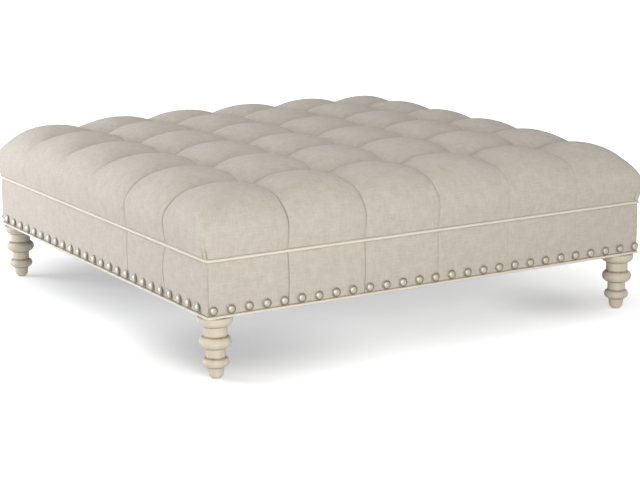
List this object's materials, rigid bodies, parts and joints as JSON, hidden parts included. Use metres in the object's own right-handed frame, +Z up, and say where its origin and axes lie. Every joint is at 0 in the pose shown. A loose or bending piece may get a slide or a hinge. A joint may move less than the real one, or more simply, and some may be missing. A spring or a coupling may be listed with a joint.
{
  "type": "ottoman coffee table",
  "caption": "Square upholstered ottoman table: biscuit-tufted linen top over a welted apron with nail heads, on turned wooden legs.",
  "frame": {"origin": "on the floor, under the middle of the table", "axes": "+Z up; -Y is the front, the side with the long row of nail heads; +X to the right seen from the front"},
  "size_m": [1.28, 1.28, 0.4568],
  "materials": {
    "linen": "beige linen weave with slubs",
    "welt_cotton": "ivory piping",
    "plywood": "raw plywood",
    "cambric": "black non-woven dust cloth",
    "foam": "cut upholstery foam",
    "twine": "waxed upholstery twine and fibre washers",
    "frame_timber": "planed raw timber",
    "zinc_steel": "zinc plated",
    "nylon": "moulded nylon",
    "washed_wood": "turned wood with a pale washed finish",
    "nickel": "domed heads in aged nickel"
  },
  "bodies": {
    "root": {"tufted_top": "linen", "upper_welt": "welt_cotton", "lower_welt": "welt_cotton", "deck_board": "plywood", "dust_cover": "cambric", "foam_blocks": "foam", "tuft_ties": "twine", "corner_blocks": "frame_timber", "hanger_bolts": "zinc_steel", "t_nuts": "zinc_steel", "leg_glides": "nylon", "leg_front_left": "washed_wood", "leg_front_right": "washed_wood", "leg_back_right": "washed_wood", "leg_back_left": "washed_wood", "apron_front": "linen", "front_rail": "frame_timber", "nails_front": "nickel", "apron_right": "linen", "right_rail": "frame_timber", "nails_right": "nickel", "apron_back": "linen", "back_rail": "frame_timber", "nails_back": "nickel", "apron_left": "linen", "left_rail": "frame_timber", "nails_left": "nickel", "deck_bearer_1": "frame_timber", "deck_bearer_2": "frame_timber", "deck_bearer_3": "frame_timber", "deck_bearer_4": "frame_timber"}
  },
  "joints": []
}
